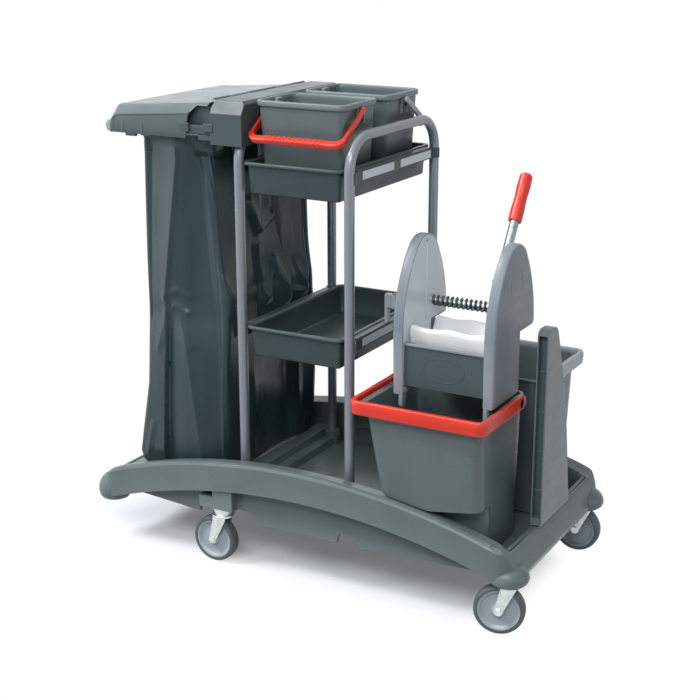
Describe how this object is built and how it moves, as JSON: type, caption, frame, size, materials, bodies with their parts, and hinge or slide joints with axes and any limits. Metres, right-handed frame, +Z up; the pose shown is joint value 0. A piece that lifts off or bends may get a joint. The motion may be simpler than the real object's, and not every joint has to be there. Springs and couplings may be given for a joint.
{
  "type": "janitor cart",
  "caption": "Wheeled cleaning cart with a lidded refuse bag, tube frames with trays, small buckets, mop buckets and a lever wringer on an arched base.",
  "frame": {"origin": "on the floor under the middle of the cart's box", "axes": "+X from the bag to the mop buckets, -Y the front, +Z up"},
  "size_m": [1.25, 0.66, 1.208],
  "materials": {
    "body_grey": "moulded, satin",
    "dark_plastic": "moulded, satin",
    "tube_paint": "grey powder coat",
    "zinc_steel": "bright zinc plate",
    "pale_plastic": "moulded, satin",
    "silver_plastic": "silver grey, semi gloss",
    "liner_plastic": "pale blue grey, semi gloss",
    "tyre_rubber": "grey rubber",
    "bag_film": "thin polyethylene film",
    "red_plastic": "moulded, semi gloss",
    "white_plastic": "moulded, semi gloss",
    "spring_steel": "dark oiled wire",
    "lever_tube": "drawn tube"
  },
  "bodies": {
    "base": {"base_main": "body_grey", "base_bag_platform": "body_grey", "corner_bumpers": "body_grey", "base_bolts": "zinc_steel", "frame_left": "tube_paint", "frame_right": "tube_paint", "frame_screws": "zinc_steel", "upper_tray": "body_grey", "lower_tray": "body_grey", "upper_tray_rails": "dark_plastic", "lower_tray_rails": "dark_plastic", "label_strips": "pale_plastic", "tool_clip": "pale_plastic", "end_upright": "body_grey", "upright_screws": "zinc_steel", "holder_block": "body_grey", "bag_ring": "tube_paint", "refuse_bag": "bag_film", "lid_pin": "zinc_steel", "caster_plates": "zinc_steel", "king_bolts": "zinc_steel"},
    "lid": {"bag_lid": "body_grey"},
    "caster_fl": {"fork_fl": "zinc_steel", "axle_fl": "zinc_steel"},
    "wheel_fl": {"hub_fl": "pale_plastic", "tyre_fl": "tyre_rubber"},
    "caster_fr": {"fork_fr": "zinc_steel", "axle_fr": "zinc_steel"},
    "wheel_fr": {"hub_fr": "pale_plastic", "tyre_fr": "tyre_rubber"},
    "caster_rl": {"fork_rl": "zinc_steel", "axle_rl": "zinc_steel"},
    "wheel_rl": {"hub_rl": "pale_plastic", "tyre_rl": "tyre_rubber"},
    "caster_rr": {"fork_rr": "zinc_steel", "axle_rr": "zinc_steel"},
    "wheel_rr": {"hub_rr": "pale_plastic", "tyre_rr": "tyre_rubber"},
    "small_front": {"small_bucket_front": "body_grey"},
    "small_rear": {"small_bucket_rear": "body_grey"},
    "small_bail_f": {"small_bail_front": "red_plastic"},
    "small_bail_r": {"small_bail_rear": "pale_plastic"},
    "mop_front": {"mop_bucket_front": "body_grey"},
    "mop_rear": {"mop_bucket_rear": "body_grey"},
    "mop_bail_f": {"mop_bail_front": "red_plastic"},
    "mop_bail_r": {"mop_bail_rear": "pale_plastic"},
    "wringer": {"wringer_plate_left": "silver_plastic", "wringer_plate_right": "silver_plastic", "wringer_liner_left": "liner_plastic", "wringer_liner_right": "liner_plastic", "wringer_basket": "dark_plastic", "jaw_pins": "zinc_steel", "wringer_shaft": "zinc_steel", "wringer_spring": "spring_steel", "lever_pin": "zinc_steel", "wringer_screws": "zinc_steel"},
    "lever": {"lever_arm": "lever_tube", "lever_grip": "red_plastic"},
    "jaw_f": {"jaw_front": "white_plastic"},
    "jaw_r": {"jaw_rear": "white_plastic"}
  },
  "joints": [
    {"name": "lid_hinge", "type": "hinge", "parent": "base", "child": "lid", "pos_m": [-0.2535, 0, 1.199], "axis": [0, 1, 0], "range_deg": [0, 100]},
    {"name": "swivel_fl", "type": "hinge", "parent": "base", "child": "caster_fl", "pos_m": [-0.2275, -0.261, 0.14], "axis": [0, 0, 1], "continuous": true},
    {"name": "roll_fl", "type": "hinge", "parent": "caster_fl", "child": "wheel_fl", "pos_m": [-0.2515, -0.261, 0.0625], "axis": [0, 1, 0], "continuous": true},
    {"name": "swivel_fr", "type": "hinge", "parent": "base", "child": "caster_fr", "pos_m": [0.5815, -0.261, 0.14], "axis": [0, 0, 1], "continuous": true},
    {"name": "roll_fr", "type": "hinge", "parent": "caster_fr", "child": "wheel_fr", "pos_m": [0.55821, -0.26681, 0.0625], "axis": [-0.2419, 0.9703, 0], "continuous": true},
    {"name": "swivel_rl", "type": "hinge", "parent": "base", "child": "caster_rl", "pos_m": [-0.2275, 0.261, 0.14], "axis": [0, 0, 1], "continuous": true},
    {"name": "roll_rl", "type": "hinge", "parent": "caster_rl", "child": "wheel_rl", "pos_m": [-0.2515, 0.261, 0.0625], "axis": [0, 1, 0], "continuous": true},
    {"name": "swivel_rr", "type": "hinge", "parent": "base", "child": "caster_rr", "pos_m": [0.5815, 0.261, 0.14], "axis": [0, 0, 1], "continuous": true},
    {"name": "roll_rr", "type": "hinge", "parent": "caster_rr", "child": "wheel_rr", "pos_m": [0.5575, 0.261, 0.0625], "axis": [0, 1, 0], "continuous": true},
    {"name": "small_front_lift", "type": "slide", "parent": "base", "child": "small_front", "axis": [0, 0, 1], "range_m": [0, 0.25]},
    {"name": "small_bail_front_swing", "type": "hinge", "parent": "small_front", "child": "small_bail_f", "pos_m": [-0.0155, -0.125, 1.19], "axis": [-1, 0, 0], "range_deg": [0, 120]},
    {"name": "small_rear_lift", "type": "slide", "parent": "base", "child": "small_rear", "axis": [0, 0, 1], "range_m": [0, 0.25]},
    {"name": "small_bail_rear_swing", "type": "hinge", "parent": "small_rear", "child": "small_bail_r", "pos_m": [-0.0155, 0.101, 1.19], "axis": [1, 0, 0], "range_deg": [0, 120]},
    {"name": "mop_front_lift", "type": "slide", "parent": "base", "child": "mop_front", "axis": [0, 0, 1], "range_m": [0, 0.4]},
    {"name": "mop_bail_front_swing", "type": "hinge", "parent": "mop_front", "child": "mop_bail_f", "pos_m": [0.3565, -0.1, 0.522], "axis": [-1, 0, 0], "range_deg": [0, 38]},
    {"name": "mop_rear_lift", "type": "slide", "parent": "base", "child": "mop_rear", "axis": [0, 0, 1], "range_m": [0, 0.4]},
    {"name": "mop_bail_rear_swing", "type": "hinge", "parent": "mop_rear", "child": "mop_bail_r", "pos_m": [0.3565, 0.1, 0.522], "axis": [1, 0, 0], "range_deg": [0, 90]},
    {"name": "wringer_lift", "type": "slide", "parent": "mop_front", "child": "wringer", "axis": [0, 0, 1], "range_m": [0, 0.3]},
    {"name": "lever_pull", "type": "hinge", "parent": "wringer", "child": "lever", "pos_m": [0.4645, -0.11, 0.815], "axis": [1, 0, 0], "range_deg": [0, 100]},
    {"name": "jaw_front_close", "type": "hinge", "parent": "wringer", "child": "jaw_f", "pos_m": [0.383, -0.19, 0.612], "axis": [1, 0, 0], "range_deg": [-32, 0]},
    {"name": "jaw_rear_close", "type": "hinge", "parent": "wringer", "child": "jaw_r", "pos_m": [0.383, -0.112, 0.612], "axis": [1, 0, 0], "range_deg": [0, 32]}
  ],
  "couplings": [
    {"joint": "jaw_front_close", "follows": "lever_pull", "ratio": -0.32},
    {"joint": "jaw_rear_close", "follows": "lever_pull", "ratio": 0.32}
  ]
}
